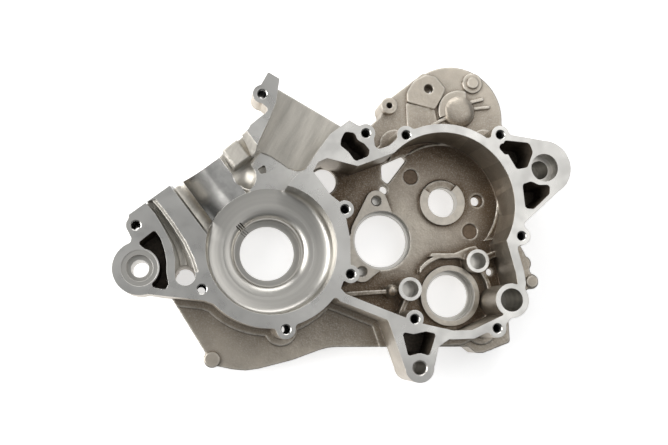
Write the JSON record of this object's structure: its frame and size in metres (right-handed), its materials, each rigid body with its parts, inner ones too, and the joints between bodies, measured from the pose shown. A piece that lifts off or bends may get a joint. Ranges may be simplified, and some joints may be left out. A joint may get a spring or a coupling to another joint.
{
  "type": "engine crankcase half",
  "caption": "Half of a small two-stroke engine crankcase: a bare aluminium casting with crank chamber, gearbox cavity, bearing seats and mounting lugs.",
  "frame": {"origin": "centre of the main bearing seat, on the crankshaft axis", "axes": "+Z along the crankshaft, from the clutch side to the joint face; +X from the crankshaft to the gearbox; the part rests on its clutch cover face, z = -24 mm"},
  "size_m": [0.348, 0.254, 0.064],
  "materials": {
    "cast_aluminium": "machined faces on a sand-cast body"
  },
  "bodies": {
    "root": {"crankcase_half": "cast_aluminium"}
  },
  "joints": []
}
